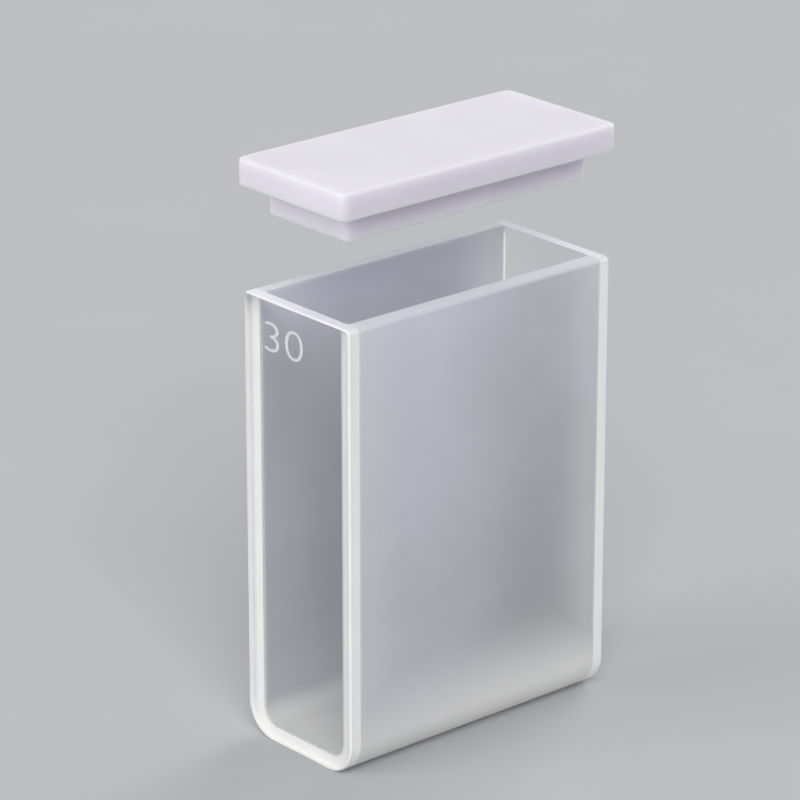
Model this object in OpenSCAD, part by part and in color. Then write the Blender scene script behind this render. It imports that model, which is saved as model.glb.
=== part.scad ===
// Rectangular spectrophotometer cell with a lift-off lid.
// A U-shaped wall of frosted glass is closed at both ends by a polished window, fused on.
// Light travels along Y, through both windows. The cell stands on the XY plane with its
// mouth up, and Z runs up through the middle of its floor. The lid hangs over the mouth.

/* [Cell] */
// Outside width, across the two frosted walls
cell_w = 15.2; // [12.5:0.1:25]
// Outside length along the light path, windows included
cell_l = 32.5; // [22.5:0.5:62.5]
// Height from the floor to the rim
cell_h = 45; // [30:0.5:60]
// Thickness of the frosted walls
wall = 1.6; // [1.2:0.05:2.2]
// Thickness of the floor
floor_t = 1.25; // [1:0.05:2.2]
// Thickness of each polished window
window_t = 1.25; // [1:0.05:2]
// Outside radius of the two bottom corners
corner_r = 3.4; // [3.2:0.1:5.5]

/* [Edges] */
// Bevel ground along both sides of the mouth, over the walls and the windows
rim_bevel = 0.35; // [0.1:0.05:0.5]
// Bevel ground around the outside face of each window
window_bevel = 0.15; // [0.1:0.05:0.4]
// Fillet of fused glass in the corners inside each window: its leg on the window
fillet_in = 0.25; // [0.2:0.05:0.6]
// And its leg along the frosted walls and floor
fillet_along = 0.4; // [0.2:0.05:0.6]

/* [Lid] */
// How far the flange overhangs the frosted walls on each side
side_overhang = 0.1; // [0:0.05:1.5]
// How far the flange overhangs the windows at each end
end_overhang = 0.7; // [0:0.05:1.5]
// Thickness of the flange
flange_t = 2.6; // [2:0.1:4]
// Radius of the flange's upright corners
flange_r = 0.9; // [0.6:0.1:3]
// Radius of the flange's top edge
flange_edge = 0.3; // [0.2:0.05:0.8]
// Depth of the plug below the flange
plug_depth = 2.9; // [2:0.1:6]
// Radius of the plug's upright corners
plug_r = 0.8; // [0.7:0.1:2.5]
// Radius of the plug's bottom edge
plug_edge = 0.25; // [0.1:0.05:0.6]
// Gap between the plug and the mouth on each side
plug_gap = 0.2; // [0.05:0.01:0.3]
// Height of the lid above its seat on the rim
lid_lift = 10.5; // [0.1:0.1:40]

/* [Hidden] */

// Faces of round surfaces
$fn = 96;
// Length of a cutter past the face that it cuts
over = 1;

// Distance between the windows, which is the light path
path_l = cell_l - 2 * window_t;
// Inside width of the cell
inner_w = cell_w - 2 * wall;
// Inside radius of the two bottom corners
inner_r = corner_r - wall;
// Flange size
flange_w = cell_w + 2 * side_overhang;
flange_l = cell_l + 2 * end_overhang;
// Plug size
plug_w = inner_w - 2 * plug_gap;
plug_l = path_l - 2 * plug_gap;
// Colours
frosted_glass = [0.78, 0.79, 0.82, 0.85];
clear_glass = [0.86, 0.91, 0.93, 0.45];
white_plastic = [0.93, 0.92, 0.95];

// Upright outline that stands on the X axis, with its two bottom corners rounded
module cell_outline(w, h, r) {
    translate([-w / 2, r]) square([w, h - r]);
    translate([-w / 2 + r, 0]) square([w - 2 * r, h]);
    for (side = [-1, 1]) translate([side * (w / 2 - r), r]) circle(r);
}

// Square on its corner, which cuts a 45 degree bevel with legs of length b
module bevel_cutter(b) {
    rotate(45) square(b * sqrt(2), center = true);
}

// Outline of the whole cell, seen along the light path
module cell_end() {
    difference() {
        cell_outline(cell_w, cell_h, corner_r);
        for (side = [-1, 1]) translate([side * cell_w / 2, cell_h]) bevel_cutter(rim_bevel);
    }
}

// Stands an outline up across the cell and gives it the length len along Y from y
module across(y, len) {
    translate([0, y + len, 0]) rotate([90, 0, 0]) linear_extrude(len) children();
}

// Sweeps a section down one side, round the bottom and up the other side of an outline.
// The section's X points out of the outline and its Y is the cell's Y.
module sweep_round(half_w, floor_z, r, top_z) {
    for (side = [0, 1]) mirror([side, 0, 0]) {
        translate([half_w, 0, floor_z + r])
            linear_extrude(top_z - floor_z - r) children();
        translate([half_w - r, 0, floor_z + r]) rotate([-90, 0, 0])
            rotate_extrude(angle = 90) translate([r, 0]) children();
    }
    translate([r - half_w, 0, floor_z]) rotate([0, 90, 0])
        linear_extrude(2 * (half_w - r)) children();
}

// Section of the fused fillet: a triangle in the corner, carried on into the wall
module fillet_section() {
    into = min(wall, floor_t) / 2;
    polygon([[into, 0], [-fillet_in, 0], [0, -fillet_along], [into, -fillet_along]]);
}

// Frosted U: two long walls and the floor between them in one piece, with the fused
// fillet where each window meets it
module u_frame() {
    color(frosted_glass) {
        across(-path_l / 2, path_l) difference() {
            cell_end();
            translate([0, floor_t]) cell_outline(inner_w, cell_h, inner_r);
        }
        for (end = [0, 1]) mirror([0, end, 0]) translate([0, path_l / 2, 0])
            sweep_round(inner_w / 2, floor_t, inner_r, cell_h) fillet_section();
    }
}

// Polished plate with the outline of the cell, bevelled around its outside face
module window() {
    difference() {
        across(-cell_l / 2, window_t) cell_end();
        translate([0, -cell_l / 2, 0]) {
            sweep_round(cell_w / 2, 0, corner_r, cell_h + over) bevel_cutter(window_bevel);
            translate([-cell_w / 2 - over, 0, cell_h]) rotate([0, 90, 0])
                linear_extrude(cell_w + 2 * over) bevel_cutter(window_bevel);
        }
    }
}

module front_window() {
    color(clear_glass) window();
}

module back_window() {
    color(clear_glass) mirror([0, 1, 0]) window();
}

// Profile of a slab of width w, from z = 0 up to t, with its top edges rounded by edge
module slab_profile(w, t, edge) {
    translate([-w / 2, 0]) square([w, t - edge]);
    translate([-w / 2 + edge, 0]) square([w - 2 * edge, t]);
    for (side = [-1, 1]) translate([side * (w / 2 - edge), t - edge]) circle(edge);
}

// Slab with upright corners of radius r and a top edge of radius edge
module slab(w, l, t, r, edge) {
    across(-l / 2 + r, l - 2 * r) slab_profile(w, t, edge);
    rotate(90) across(-w / 2 + r, w - 2 * r) slab_profile(l, t, edge);
    for (x = [-1, 1], y = [-1, 1]) translate([x * (w / 2 - r), y * (l / 2 - r), 0])
        rotate_extrude() intersection() {
            slab_profile(2 * r, t, edge);
            square([r, t]);
        }
}

// One-piece lid: a flange that rests on the rim, and a plug that fills the mouth
module lid() {
    color(white_plastic) translate([0, 0, cell_h + lid_lift]) {
        slab(flange_w, flange_l, flange_t, flange_r, flange_edge);
        mirror([0, 0, 1]) slab(plug_w, plug_l, plug_depth, plug_r, plug_edge);
    }
}

u_frame();
front_window();
back_window();
lid();
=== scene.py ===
import math

import bpy
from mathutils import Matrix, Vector


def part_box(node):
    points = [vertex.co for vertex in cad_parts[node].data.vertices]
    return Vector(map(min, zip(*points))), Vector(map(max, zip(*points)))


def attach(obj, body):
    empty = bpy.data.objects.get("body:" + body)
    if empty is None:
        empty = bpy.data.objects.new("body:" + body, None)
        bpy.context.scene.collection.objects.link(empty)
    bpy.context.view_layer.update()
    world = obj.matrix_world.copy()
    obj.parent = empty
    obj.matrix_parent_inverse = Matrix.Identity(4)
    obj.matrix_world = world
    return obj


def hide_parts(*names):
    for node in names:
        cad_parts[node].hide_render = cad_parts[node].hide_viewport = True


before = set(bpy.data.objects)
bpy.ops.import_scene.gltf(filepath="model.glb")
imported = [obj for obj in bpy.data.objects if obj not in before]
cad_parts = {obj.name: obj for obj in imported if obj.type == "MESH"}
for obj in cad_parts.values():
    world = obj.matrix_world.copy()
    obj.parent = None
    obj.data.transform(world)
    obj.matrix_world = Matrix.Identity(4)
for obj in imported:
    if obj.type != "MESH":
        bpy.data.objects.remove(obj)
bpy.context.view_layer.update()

# ---------------------------------------------------------------- frosted U
# The body of the cell: two long walls and the floor between them, in one U of glass with
# round bottom corners. Its faces are ground to a fine even frost, and the rim and the ends
# that the windows are fused on are ground coarser, to a brighter white. The frost's colour
# carries painted light and a painted glow, and the rim's white is dulled by painted shade.

u_low, u_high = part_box("u_frame")
wall, floor_t = 0.0016, 0.00125  # thickness of the two long walls, and of the floor
corner_r = 0.0034  # outside radius of the bottom corners
corner_steps = 16  # flats in a quarter turn of a bottom corner
rim_bevel = 0.00035  # ground along both sides of the mouth, over the walls and the windows
rim_depth = 0.0005  # how far down the rim's own white reaches
edge_break = 0.00006  # stoned off every other sharp edge
edge_break_steps = 2
sharp_turn = math.radians(40)  # an edge that turns by more than this is sharp
round_turn = math.radians(35)  # faces that turn by less than this shade as one round
over = 0.001  # how far the core stands past the mouth that it opens
seam = 0.00002  # depth of the joint between a window and the U
hair = 0.00001  # two faces this close count as level
same_point = 0.000002  # two points this close are made one
along_y = 0.5  # the least that a face's normal lies along Y where it ends the U
Y, Z = 1, 2  # where a point keeps its second and third measure
glass_ior = 1.46  # how far fused silica bends light

half_w, half_path = u_high.x, u_high.y
inner_half = half_w - wall
mouth = u_high.z


def block(name, low, high):
    """A solid block between two corners, with its place in its mesh."""
    bpy.ops.object.select_all(action="DESELECT")
    low, high = Vector(low), Vector(high)
    bpy.ops.mesh.primitive_cube_add(size=1, location=(low + high) / 2, scale=high - low)
    bpy.ops.object.transform_apply()
    piece = bpy.context.object
    piece.name = piece.data.name = name
    return piece


def pick_edges(piece, wanted):
    """Opens piece in edit mode with only the edges selected whose two ends are as wanted."""
    bpy.context.view_layer.objects.active = piece
    bpy.ops.object.mode_set(mode="EDIT")
    bpy.ops.mesh.select_mode(type="EDGE")
    bpy.ops.mesh.select_all(action="DESELECT")
    bpy.ops.object.mode_set(mode="OBJECT")
    points = piece.data.vertices
    for edge in piece.data.edges:
        edge.select = wanted(*[points[i].co for i in edge.vertices])
    bpy.ops.object.mode_set(mode="EDIT")


def bevel_edges(piece, wanted, width, steps=1):
    """Rounds the wanted edges of piece, or cuts them at 45 degrees where steps is 1."""
    pick_edges(piece, wanted)
    bpy.ops.mesh.bevel(offset=width, segments=steps, profile=0.5, affect="EDGES")
    bpy.ops.object.mode_set(mode="OBJECT")


def weld(piece):
    """Merges the points of piece that lie on one another, so that it is closed all round."""
    pick_edges(piece, lambda a, b: True)
    bpy.ops.mesh.remove_doubles(threshold=same_point)
    bpy.ops.object.mode_set(mode="OBJECT")


def apply_modifier(piece, kind, **settings):
    """Adds one modifier to piece and applies it."""
    bpy.context.view_layer.objects.active = piece
    modifier = piece.modifiers.new(kind.title(), kind)
    for name, value in settings.items():
        setattr(modifier, name, value)
    bpy.ops.object.modifier_apply(modifier=modifier.name)


def cut_or_join(piece, tool, operation):
    """Takes tool away from piece with DIFFERENCE, or makes one solid of both with UNION."""
    apply_modifier(piece, "BOOLEAN", object=tool, operation=operation, solver="EXACT")


def level(a, b, axis, place):
    """True if points a and b both lie at place on that axis."""
    return abs(a[axis] - place) < hair and abs(b[axis] - place) < hair


def long_edge(a, b, half_width, height):
    """True if a to b runs along Y, at that height and that far out on either side."""
    return level(a, b, Z, height) and abs(a.x - b.x) < hair and abs(abs(a.x) - half_width) < hair


def round_bottom(piece, half_width, floor, radius):
    """Rounds the two long bottom edges of an upright block."""
    bevel_edges(piece, lambda a, b: long_edge(a, b, half_width, floor), radius, corner_steps)


def bevel_rim(piece):
    """Grinds the bevel along both sides of the mouth."""
    bevel_edges(piece, lambda a, b: long_edge(a, b, half_w, mouth), rim_bevel)


u_frame = block("frosted_u", u_low, u_high)
round_bottom(u_frame, half_w, 0, corner_r)
core = block(
    "core",
    (-inner_half, -half_path - seam - hair, floor_t),
    (inner_half, half_path + seam + hair, mouth + over),
)
round_bottom(core, inner_half, floor_t, corner_r - wall)
cut_or_join(u_frame, core, "DIFFERENCE")
bevel_rim(u_frame)
apply_modifier(
    u_frame,
    "BEVEL",
    width=edge_break,
    segments=edge_break_steps,
    limit_method="ANGLE",
    angle_limit=sharp_turn,
)


def nodes_of(material):
    """The node tree of a new material, its shader, and its Object coordinates."""
    material.use_nodes = True
    tree = material.node_tree
    place = tree.nodes.new("ShaderNodeTexCoord").outputs["Object"]
    return tree, tree.nodes["Principled BSDF"], place


def noise(tree, place, spots, detail, roughness=0.5):
    """A noise pattern on place, with that many spots to the metre."""
    node = tree.nodes.new("ShaderNodeTexNoise")
    node.inputs["Scale"].default_value = spots
    node.inputs["Detail"].default_value = detail
    node.inputs["Roughness"].default_value = roughness
    tree.links.new(place, node.inputs["Vector"])
    return node.outputs["Fac"]


def ramp(tree, factor, dark, pale, low=0.3, high=0.7):
    """Runs from the dark colour where factor is low to the pale one where it is high."""
    node = tree.nodes.new("ShaderNodeValToRGB")
    for stop, position, colour in zip(node.color_ramp.elements, (low, high), (dark, pale)):
        stop.position = position
        stop.color = (*colour, 1)
    tree.links.new(factor, node.inputs["Fac"])
    return node.outputs["Color"]


def spread(tree, factor, low, high):
    """Carries a 0 to 1 factor over to the range from low to high."""
    node = tree.nodes.new("ShaderNodeMapRange")
    node.inputs["To Min"].default_value = low
    node.inputs["To Max"].default_value = high
    tree.links.new(factor, node.inputs["Value"])
    return node.outputs["Result"]


def fade(tree, distance, start, end, most=1.0):
    """Falls smoothly from most where distance is start to 0 where it is end."""
    node = tree.nodes.new("ShaderNodeMapRange")
    node.interpolation_type = "SMOOTHSTEP"
    node.inputs["From Min"].default_value = start
    node.inputs["From Max"].default_value = end
    node.inputs["To Min"].default_value = most
    node.inputs["To Max"].default_value = 0
    tree.links.new(distance, node.inputs["Value"])
    return node.outputs["Result"]


def math_node(tree, operation, *values):
    """One Math node over values, each a socket or a number."""
    node = tree.nodes.new("ShaderNodeMath")
    node.operation = operation
    for socket, value in zip(node.inputs, values):
        if isinstance(value, float):
            socket.default_value = value
        else:
            tree.links.new(value, socket)
    return node.outputs["Value"]


def blend(tree, factor, first, second):
    """Mixes two colours or numbers, from first where factor is 0 to second where it is 1."""
    node = tree.nodes.new("ShaderNodeMix")
    node.data_type = "RGBA"
    first_colour, second_colour = [socket for socket in node.inputs if socket.type == "RGBA"]
    tree.links.new(factor, node.inputs["Factor"])
    tree.links.new(first, first_colour)
    tree.links.new(second, second_colour)
    return next(socket for socket in node.outputs if socket.type == "RGBA")


def parts_of(tree, place):
    """The X, Y and Z of place, each as a socket of its own."""
    node = tree.nodes.new("ShaderNodeSeparateXYZ")
    tree.links.new(place, node.inputs["Vector"])
    return node.outputs["X"], node.outputs["Y"], node.outputs["Z"]


def mix_shaders(tree, factor, first, second):
    """Mixes two shaders, from first where factor is 0 to second where it is 1."""
    node = tree.nodes.new("ShaderNodeMixShader")
    share, *shaders = node.inputs
    if isinstance(factor, float):
        share.default_value = factor
    else:
        tree.links.new(factor, share)
    for shader, socket in zip((first, second), shaders):
        tree.links.new(shader, socket)
    return node.outputs["Shader"]


def bump(tree, shader, pattern, depth, strength):
    """Raises the surface by up to depth where pattern is 1."""
    node = tree.nodes.new("ShaderNodeBump")
    node.inputs["Distance"].default_value = depth
    node.inputs["Strength"].default_value = strength
    tree.links.new(pattern, node.inputs["Height"])
    tree.links.new(node.outputs["Normal"], shader.inputs["Normal"])


def paint(tree, shader, colour, pattern, smoothest, roughest):
    """Links a shader's colour, and its roughness, which runs over pattern between two values."""
    tree.links.new(colour, shader.inputs["Base Color"])
    tree.links.new(spread(tree, pattern, smoothest, roughest), shader.inputs["Roughness"])


def let_light_through(tree, shader, colour, share):
    """Lets share of the light that falls on the far side of the surface glow through it."""
    glow = tree.nodes.new("ShaderNodeBsdfTranslucent")
    tree.links.new(colour, glow.inputs["Color"])
    both = mix_shaders(tree, share, shader.outputs["BSDF"], glow.outputs["BSDF"])
    tree.links.new(both, tree.nodes["Material Output"].inputs["Surface"])


def rim_painted_shade(tree, height, clouds, colour):
    """Painted shade on the rim: turns colour to a cooler, duller white near the mouth."""
    rim = ramp(tree, clouds, dark=(0.865, 0.875, 0.91), pale=(0.915, 0.925, 0.955))
    return blend(tree, fade(tree, height, start=mouth, end=mouth - rim_depth), colour, rim)


def frosted_glass():
    """Fine ground glass: cloudy, with painted light that makes it paler to the front and the mouth,
    and a painted glow that makes it white at foot and joints.
    """
    material = bpy.data.materials.new("frosted_glass")
    tree, shader, place = nodes_of(material)
    grain = noise(tree, place, spots=9000, detail=2)
    clouds = noise(tree, place, spots=90, detail=8, roughness=0.6)
    x, y, z = parts_of(tree, place)
    wander = 0.0022  # most that a change of tone drifts up or down
    drift = spread(tree, noise(tree, place, spots=45, detail=2), low=-wander, high=wander)
    height = math_node(tree, "ADD", z, drift)
    along = math_node(tree, "ABSOLUTE", y)
    across = math_node(tree, "ABSOLUTE", x)
    outside = math_node(tree, "GREATER_THAN", across, inner_half + hair)
    inside = math_node(tree, "LESS_THAN", across, inner_half + hair)

    # The tone is 0 where the frost is dull and 1 where it is milky. It adds up from the place
    # along the wall, the height and the clouds, and differs on the two sides of a wall. The
    # place and the height add painted light: outside paler to the front and towards the mouth,
    # inside paler to the back and towards the mouth.
    turn = 0.6 * half_path  # the front's tone gives way to the back's within this of the middle
    to_front = fade(tree, y, start=-turn, end=turn)
    painted_light_along_outside = spread(tree, to_front, low=0.0, high=0.65)
    painted_light_up_outside = fade(tree, height, start=mouth, end=0.01, most=0.45)
    painted_light_along_inside = spread(tree, to_front, low=0.5, high=0.3)
    painted_light_up_inside = fade(tree, height, start=mouth, end=0.036, most=0.7)
    outer = math_node(tree, "ADD", painted_light_along_outside, painted_light_up_outside)
    inner = math_node(tree, "ADD", painted_light_along_inside, painted_light_up_inside)
    tone = blend(tree, outside, inner, outer)
    tone = math_node(tree, "ADD", tone, spread(tree, clouds, low=-0.35, high=0.35))
    frost_and_painted_light = ramp(tree, tone, dark=(0.555, 0.558, 0.575), pale=(0.8, 0.806, 0.875), low=0.0, high=1.0)

    # Inside, painted light turns the frost pale once more towards the back window
    painted_light_to_back = fade(tree, y, start=half_path, end=half_path - 0.0075)
    painted_light_back_inside = math_node(tree, "MULTIPLY", painted_light_to_back, inside)
    pale = ramp(tree, clouds, dark=(0.92, 0.925, 0.965), pale=(0.96, 0.965, 0.99))
    frost_and_painted_light = blend(tree, painted_light_back_inside, frost_and_painted_light, pale)
    # Painted shade: a duller, cooler white near the mouth
    frost_and_painted_light = rim_painted_shade(tree, z, clouds, frost_and_painted_light)

    # Painted glow: white spreads up from the foot and in from the joints, further outside than
    # inside
    foot_outside = fade(tree, height, start=0.002, end=0.0115)
    near_joint = fade(tree, along, start=half_path, end=half_path - 0.006, most=0.4)
    foot_inside = fade(tree, height, start=floor_t, end=0.0042)
    at_joint = fade(tree, along, start=half_path, end=half_path - 0.0007, most=0.7)
    painted_glow = math_node(tree, "MAXIMUM", foot_outside, near_joint)
    painted_glow = math_node(tree, "MULTIPLY", painted_glow, outside)
    for whiter in (foot_inside, at_joint):
        painted_glow = math_node(tree, "MAXIMUM", painted_glow, whiter)
    white = ramp(tree, clouds, dark=(0.95, 0.945, 0.925), pale=(0.98, 0.975, 0.955))
    colour = blend(tree, painted_glow, frost_and_painted_light, white)

    paint(tree, shader, colour, grain, smoothest=0.5, roughest=0.62)
    shader.inputs["IOR"].default_value = glass_ior
    bump(tree, shader, grain, depth=0.00001, strength=0.3)
    let_light_through(tree, shader, colour, share=0.35)
    return material


def ground_edge():
    """The white of a coarse ground edge, which gathers light from the glass."""
    material = bpy.data.materials.new("ground_edge")
    tree, shader, place = nodes_of(material)
    grain = noise(tree, place, spots=7000, detail=2)
    clouds = noise(tree, place, spots=260, detail=3)
    white = ramp(tree, clouds, dark=(0.945, 0.94, 0.925), pale=(0.98, 0.975, 0.96))
    # Painted shade: a duller, cooler white near the mouth
    colour = rim_painted_shade(tree, parts_of(tree, place)[Z], clouds, white)
    paint(tree, shader, colour, grain, smoothest=0.55, roughest=0.7)
    shader.inputs["IOR"].default_value = glass_ior
    bump(tree, shader, grain, depth=0.00001, strength=0.4)
    let_light_through(tree, shader, colour, share=0.1)
    return material


def paint_faces(piece, materials, choose):
    """Gives piece its materials, and each face the one that choose(centre, normal) numbers."""
    for material in materials:
        piece.data.materials.append(material)
    for face in piece.data.polygons:
        face.material_index = choose(face.center, face.normal)


def frost_or_end(centre, normal):
    """Picks the second material for the ends of the U, and the first for all other faces."""
    return 1 if abs(normal.y) > along_y else 0


def smooth(piece):
    """Shades the rounds smoothly, and keeps flats flat."""
    bpy.ops.object.select_all(action="DESELECT")
    piece.select_set(True)
    bpy.context.view_layer.objects.active = piece
    bpy.ops.object.shade_smooth_by_angle(angle=round_turn)
    apply_modifier(piece, "WEIGHTED_NORMAL", keep_sharp=True)


frost, white_edge = frosted_glass(), ground_edge()
paint_faces(u_frame, (frost, white_edge), frost_or_end)
smooth(u_frame)
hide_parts("u_frame")
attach(u_frame, "cell")

# ------------------------------------------------------------------ windows
# The two end windows: plates of clear fused glass with the outline of the U, polished on
# both faces and fused on all round, with a small hollow fillet of flowed glass inside. Where
# they meet the U, and on their rims, which are bevelled outside, they are ground white.

plate_low, plate_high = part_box("front_window")
window_bevel = 0.00015  # ground round the outside face
fillet_in, fillet_along = 0.00025, 0.0004  # the fillet's legs on the window and on the wall
fillet_steps = 8
joint = plate_high.y - seam
core_end = joint - hair
square_on = 0.99  # the least that a face's normal lies along Y where it is square to the light
turned_in = 0.05  # and the least where it looks into the cell at all
through_a_face = (0.93, 0.93, 0.93, 1)  # what one polished face leaves of the light

front_window = block("window_front", plate_low, (plate_high.x, joint, plate_high.z))
round_bottom(front_window, half_w, 0, corner_r)
bevel_rim(front_window)
bevel_edges(front_window, lambda a, b: level(a, b, Y, plate_low.y), window_bevel)

# A collar fills the corner inside the window, and the core then hollows it to the fillet:
# the core's own end is rounded, and the round is drawn out along the wall.
collar = block(
    "collar",
    (-inner_half + hair, plate_low.y + window_bevel, floor_t + hair),
    (inner_half - hair, -half_path + fillet_along, mouth),
)
round_bottom(collar, inner_half - hair, floor_t + hair, corner_r - wall)
cut_or_join(front_window, collar, "UNION")
bevel_edges(
    core,
    lambda a, b: level(a, b, Y, core_end) and not level(a, b, Z, mouth + over),
    fillet_in,
    fillet_steps,
)
pick_edges(core, lambda a, b: max(a.y, b.y) < joint + fillet_in + hair)
bpy.ops.transform.resize(value=(1, fillet_along / fillet_in, 1), center_override=(0, core_end, 0))
bpy.ops.object.mode_set(mode="OBJECT")
cut_or_join(front_window, core, "DIFFERENCE")
weld(front_window)
bpy.data.objects.remove(collar)
bpy.data.objects.remove(core)


def pass_light(tree, shader):
    """Lets lamps and lit surfaces shine straight through a clear shader, onto what is behind."""
    rays = tree.nodes.new("ShaderNodeLightPath")
    for kind in ("Is Shadow Ray", "Is Diffuse Ray"):
        clear = tree.nodes.new("ShaderNodeBsdfTransparent")
        clear.inputs["Color"].default_value = through_a_face
        shader = mix_shaders(tree, rays.outputs[kind], shader, clear.outputs["BSDF"])
    tree.links.new(shader, tree.nodes["Material Output"].inputs["Surface"])


def polished_glass():
    """Clear fused glass with an optical polish, and the faintest haze of wiping."""
    material = bpy.data.materials.new("polished_glass")
    tree, shader, place = nodes_of(material)
    haze = noise(tree, place, spots=60, detail=4)
    colour = ramp(tree, haze, dark=(0.98, 0.985, 0.985), pale=(0.99, 0.995, 0.995))
    paint(tree, shader, colour, haze, smoothest=0.0, roughest=0.03)
    shader.inputs["Transmission Weight"].default_value = 1.0
    shader.inputs["IOR"].default_value = glass_ior
    pass_light(tree, shader.outputs["BSDF"])
    return material


def fillet_painted_glow():
    """The fillet of flowed glass in a fused corner: its milky white is a painted glow of the light
    that the clear glass gathers there, and it lets the light behind it glow through.
    """
    material = bpy.data.materials.new("fillet_painted_glow")
    tree, shader, place = nodes_of(material)
    ripple = noise(tree, place, spots=400, detail=3)
    colour = ramp(tree, ripple, dark=(0.95, 0.96, 0.96), pale=(0.99, 0.99, 0.99))
    paint(tree, shader, colour, ripple, smoothest=0.15, roughest=0.3)
    shader.inputs["IOR"].default_value = glass_ior
    bump(tree, shader, ripple, depth=0.00002, strength=0.3)
    let_light_through(tree, shader, colour, share=0.9)
    return material


def glass_edge_or_line(centre, normal):
    """Picks the glass for the two polished faces, then the fillet's painted glow, then the ground
    edge.
    """
    outside_face = normal.y < -square_on
    inside_face = abs(centre.y - core_end) < hair / 2
    if outside_face or inside_face:
        return 0
    clear_of_wall = abs(centre.x) < inner_half - 1.5 * hair
    on_fillet = joint < centre.y < joint + fillet_along and clear_of_wall
    return 2 if on_fillet and normal.y > turned_in else 1


paint_faces(front_window, (polished_glass(), white_edge, fillet_painted_glow()), glass_edge_or_line)
smooth(front_window)

bpy.ops.object.duplicate()
back_window = bpy.context.object
back_window.name = back_window.data.name = "window_back"
bpy.ops.transform.rotate(value=math.pi, orient_axis="Z", center_override=(0, 0, 0))
bpy.ops.object.transform_apply()

for window, node in ((front_window, "front_window"), (back_window, "back_window")):
    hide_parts(node)
    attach(window, "cell")

# -------------------------------------------------------------- engraved mark
# The light path in millimetres, sandblasted through a stencil near the top corner of the
# front window. It is only a matte white skin on the polished face.

mark_width, mark_height = 0.0056, 0.0029
mark_left, mark_base = -0.00455, 0.04  # lower left corner of the number, across and up
mark_skin = 0.000008  # how far it stands off the window
mark_thinner = 0.015  # taken off both sides of a stroke, with the number one unit high
mark_steps = 12  # flats in each part of a curved stroke

bpy.ops.object.select_all(action="DESELECT")
bpy.ops.object.text_add(rotation=(math.pi / 2, 0, 0))
mark = bpy.context.object
mark.name = "path_mark"
mark.data.body = "30"
mark.data.extrude = mark_skin / 2
mark.data.offset = -mark_thinner
mark.data.resolution_u = mark_steps
bpy.ops.object.convert(target="MESH")
bpy.ops.object.transform_apply()
low = Vector([min(v.co[i] for v in mark.data.vertices) for i in range(3)])
high = Vector([max(v.co[i] for v in mark.data.vertices) for i in range(3)])
for v in mark.data.vertices:
    v.co.x = mark_left + (v.co.x - low.x) * mark_width / (high.x - low.x)
    v.co.z = mark_base + (v.co.z - low.z) * mark_height / (high.z - low.z)
    v.co.y += plate_low.y - mark_skin
weld(mark)


def sandblast():
    """Bright white matte skin of sandblasted glass."""
    material = bpy.data.materials.new("sandblast")
    tree, shader, place = nodes_of(material)
    grain = noise(tree, place, spots=5000, detail=3)
    colour = ramp(tree, grain, dark=(0.62, 0.63, 0.65), pale=(0.74, 0.74, 0.76))
    paint(tree, shader, colour, grain, smoothest=0.6, roughest=0.8)
    bump(tree, shader, grain, depth=0.00001, strength=0.5)
    return material


mark.data.materials.append(sandblast())
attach(mark, "cell")

# ---------------------------------------------------------------------- lid
# The lid: one block of PTFE, milled to a flange that lies on the rim and a plug that
# fills the mouth. Its faces have a waxy satin skin with faint cutter marks.

lid_low, lid_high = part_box("lid")
plug_depth = 0.0029
plug_gap = 0.0002  # between the plug and the mouth on each side
flange_r, plug_r, upright_steps = 0.0009, 0.0008, 10  # upright corners
flange_edge, plug_edge, edge_steps = 0.0003, 0.00025, 4  # top of the flange, bottom of the plug
flange_under, under_steps = 0.0001, 2  # bottom edge of the flange
seat = lid_low.z + plug_depth
plug_half_w, plug_half_l = inner_half - plug_gap, half_path - plug_gap


def upright(a, b):
    """True for an edge that runs up and down."""
    return abs(a.z - b.z) > hair


lid = block("ptfe_lid", (lid_low.x, lid_low.y, seat), lid_high)
bevel_edges(lid, upright, flange_r, upright_steps)
bevel_edges(lid, lambda a, b: level(a, b, Z, lid_high.z), flange_edge, edge_steps)
bevel_edges(lid, lambda a, b: level(a, b, Z, seat), flange_under, under_steps)
plug = block(
    "plug",
    (-plug_half_w, -plug_half_l, lid_low.z),
    (plug_half_w, plug_half_l, seat + over),
)
bevel_edges(plug, upright, plug_r, upright_steps)
bevel_edges(plug, lambda a, b: level(a, b, Z, lid_low.z), plug_edge, edge_steps)
cut_or_join(lid, plug, "UNION")
bpy.data.objects.remove(plug)


def cutter_marks(tree, place, scale):
    """Fine, slightly wavy grooves side by side, as a milling cutter leaves them."""
    node = tree.nodes.new("ShaderNodeTexWave")
    node.wave_type = "BANDS"
    node.bands_direction = "X"
    node.inputs["Scale"].default_value = scale
    node.inputs["Distortion"].default_value = 1.5
    node.inputs["Detail"].default_value = 2
    tree.links.new(place, node.inputs["Vector"])
    return node.outputs["Fac"]


def ptfe():
    """White PTFE: waxy, slightly see-through at its edges, with soft cutter marks."""
    material = bpy.data.materials.new("ptfe")
    tree, shader, place = nodes_of(material)
    clouds = noise(tree, place, spots=120, detail=4)
    colour = ramp(tree, clouds, dark=(0.725, 0.70, 0.765), pale=(0.765, 0.74, 0.805))
    paint(tree, shader, colour, clouds, smoothest=0.45, roughest=0.58)
    shader.inputs["IOR"].default_value = 1.35
    shader.inputs["Specular IOR Level"].default_value = 0.25
    shader.inputs["Subsurface Weight"].default_value = 1.0
    shader.inputs["Subsurface Radius"].default_value = (1.0, 0.95, 1.0)
    shader.inputs["Subsurface Scale"].default_value = 0.0022
    bump(tree, shader, cutter_marks(tree, place, scale=700), depth=0.000008, strength=0.5)
    return material


lid.data.materials.append(ptfe())
smooth(lid)
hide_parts("lid")
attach(lid, "lid")

# ------------------------------------------------------------------ studio
# A wide sheet of pale grey card with a backdrop of the same grey, three wide soft lights,
# and even light from all round.

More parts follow.
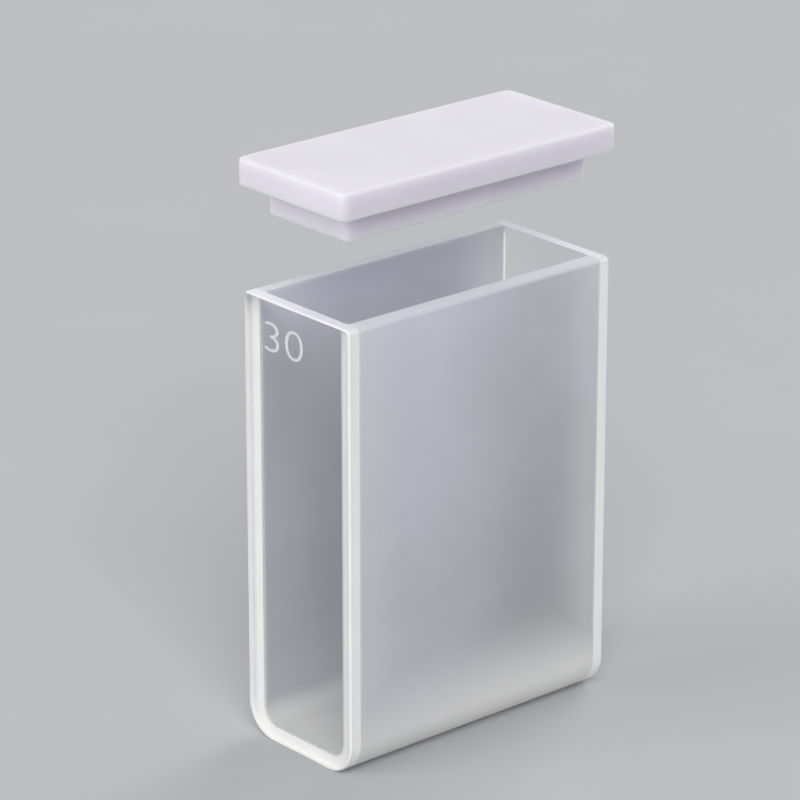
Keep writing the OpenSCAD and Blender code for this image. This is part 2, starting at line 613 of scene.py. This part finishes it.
card_size = 6.0
floor_gap = 0.00002  # keeps the card's surface apart from the cell's underside
room_colour, room_strength = (0.96, 0.97, 1, 1), 0.43
backdrop_colour, backdrop_strength = (0.97, 0.98, 1, 1), 0.53
light_width = math.radians(35)  # how much of the sky each soft light takes up
light_distance = 0.5  # where its symbol stands; the light is the same from any distance

bpy.ops.object.select_all(action="DESELECT")
bpy.ops.mesh.primitive_plane_add(size=card_size, location=(0, 0, -floor_gap))
floor = bpy.context.object
floor.name = "floor"


def card():
    """Matte pale grey card, with the faintest clouds."""
    material = bpy.data.materials.new("card")
    tree, shader, place = nodes_of(material)
    clouds = noise(tree, place, spots=30, detail=3)
    colour = ramp(tree, clouds, dark=(0.505, 0.51, 0.52), pale=(0.515, 0.52, 0.53))
    tree.links.new(colour, shader.inputs["Base Color"])
    shader.inputs["Roughness"].default_value = 0.9
    shader.inputs["Specular IOR Level"].default_value = 0.0
    return material


floor.data.materials.append(card())

world = bpy.data.worlds.new("studio")
bpy.context.scene.world = world
world.use_nodes = True
tree = world.node_tree
room = tree.nodes["Background"]
room.inputs["Color"].default_value = room_colour
room.inputs["Strength"].default_value = room_strength
backdrop = tree.nodes.new("ShaderNodeBackground")
backdrop.inputs["Color"].default_value = backdrop_colour
backdrop.inputs["Strength"].default_value = backdrop_strength
rays = tree.nodes.new("ShaderNodeLightPath")
seen = rays.outputs["Is Camera Ray"]
for kind in ("Is Glossy Ray", "Is Transmission Ray"):
    seen = math_node(tree, "MAXIMUM", seen, rays.outputs[kind])
both = mix_shaders(tree, seen, room.outputs["Background"], backdrop.outputs["Background"])
tree.links.new(both, tree.nodes["World Output"].inputs["Surface"])


def soft_light(name, direction, strength):
    """Wide even light that comes from direction."""
    bpy.ops.object.light_add(type="SUN", location=Vector(direction) * light_distance)
    light = bpy.context.object
    light.name = name
    light.data.angle = light_width
    light.data.energy = strength
    light.rotation_euler = Vector(direction).to_track_quat("Z", "Y").to_euler()


soft_light("key", direction=(-0.25, -0.8, 0.3), strength=1.09)
soft_light("fill", direction=(0.5, -0.35, 0.55), strength=1.47)
soft_light("back_light", direction=(-0.25, 0.75, 0.32), strength=1.3)

azimuth, elevation = math.radians(49.187), math.radians(20.684)
distance = 0.402
aim = Vector((0, 0, 0.0225))
step_right, step_up = -0.002695, 0.009112  # the view's middle, from where aim shows
back = Vector(
    (
        math.sin(azimuth) * math.cos(elevation),
        -math.cos(azimuth) * math.cos(elevation),
        math.sin(elevation),
    )
)
right = Vector((math.cos(azimuth), math.sin(azimuth), 0))
bpy.ops.object.camera_add(
    location=aim + back * distance + right * step_right + back.cross(right) * step_up,
    rotation=back.to_track_quat("Z", "Y").to_euler(),
)
camera = bpy.context.object
camera.data.lens = 188.37
camera.data.clip_start = 0.01
bpy.context.scene.camera = camera
bpy.context.scene.view_settings.view_transform = "Standard"
